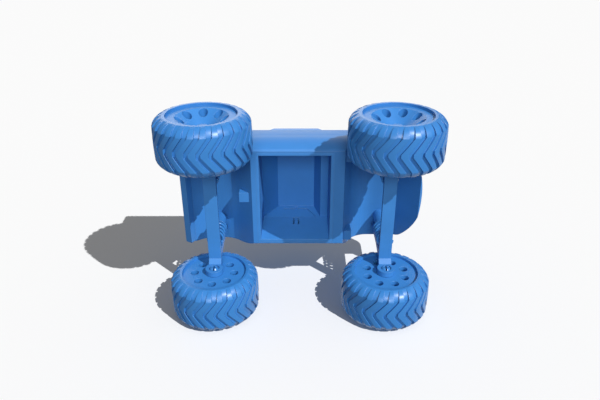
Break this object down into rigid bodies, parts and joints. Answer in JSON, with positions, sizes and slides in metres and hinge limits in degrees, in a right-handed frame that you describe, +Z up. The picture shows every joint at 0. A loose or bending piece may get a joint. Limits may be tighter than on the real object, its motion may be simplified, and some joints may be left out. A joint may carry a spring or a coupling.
{
  "type": "four wheel robot chassis",
  "caption": "Monster-truck style robot chassis: hollow body with an open equipment bay underneath, sprung beam axles and chunky chevron-tread wheels that spin freely.",
  "frame": {"origin": "on the ground under the middle of the vehicle, midway between the axles and between the wheels", "axes": "+X towards the rounded nose, +Y to the left side, +Z up; the wheels spin about Y"},
  "size_m": [0.193, 0.156, 0.1206],
  "materials": {
    "body": "printed plastic, fine layer lines, satin",
    "tub": "printed plastic, fine layer lines, satin",
    "cabin": "printed plastic, fine layer lines, satin",
    "bumper": "printed plastic, layer lines, matt",
    "axle": "printed plastic, layer lines along the bar",
    "rim": "printed plastic, concentric lines, satin",
    "tyre": "flexible printed rubber, matt, scuffed lugs",
    "pin": "smooth moulded plastic",
    "spring": "flexible plastic wire, slight sheen",
    "seat": "turned printed plastic"
  },
  "bodies": {
    "chassis": {"body_shell": "body", "bay_tub": "tub", "cabin_shell": "cabin", "rear_bumper": "bumper", "spring_seat_front_left": "seat", "spring_seat_front_right": "seat", "spring_seat_rear_left": "seat", "spring_seat_rear_right": "seat", "spring_front_left": "spring", "spring_front_right": "spring", "spring_rear_left": "spring", "spring_rear_right": "spring"},
    "axle_front": {"axle_beam_front": "axle", "wheel_pin_front_left": "pin", "wheel_pin_front_right": "pin"},
    "axle_rear": {"axle_beam_rear": "axle", "wheel_pin_rear_left": "pin", "wheel_pin_rear_right": "pin"},
    "wheel_front_left": {"tyre_front_left": "tyre", "rim_front_left": "rim"},
    "wheel_front_right": {"tyre_front_right": "tyre", "rim_front_right": "rim"},
    "wheel_rear_left": {"tyre_rear_left": "tyre", "rim_rear_left": "rim"},
    "wheel_rear_right": {"tyre_rear_right": "tyre", "rim_rear_right": "rim"}
  },
  "joints": [
    {"name": "front_suspension", "type": "slide", "parent": "chassis", "child": "axle_front", "axis": [0, 0, 1], "range_m": [-0.002, 0.005], "stiffness_N_per_m": 600, "springref_m": -0.002, "deforming": ["spring_front_left", "spring_front_right"]},
    {"name": "rear_suspension", "type": "slide", "parent": "chassis", "child": "axle_rear", "axis": [0, 0, 1], "range_m": [-0.002, 0.005], "stiffness_N_per_m": 600, "springref_m": -0.002, "deforming": ["spring_rear_left", "spring_rear_right"]},
    {"name": "front_left_wheel_spin", "type": "hinge", "parent": "axle_front", "child": "wheel_front_left", "pos_m": [0.064, 0.061, 0.0325], "axis": [0, 1, 0], "continuous": true},
    {"name": "front_right_wheel_spin", "type": "hinge", "parent": "axle_front", "child": "wheel_front_right", "pos_m": [0.064, -0.061, 0.0325], "axis": [0, 1, 0], "continuous": true},
    {"name": "rear_left_wheel_spin", "type": "hinge", "parent": "axle_rear", "child": "wheel_rear_left", "pos_m": [-0.064, 0.061, 0.0325], "axis": [0, 1, 0], "continuous": true},
    {"name": "rear_right_wheel_spin", "type": "hinge", "parent": "axle_rear", "child": "wheel_rear_right", "pos_m": [-0.064, -0.061, 0.0325], "axis": [0, 1, 0], "continuous": true}
  ]
}
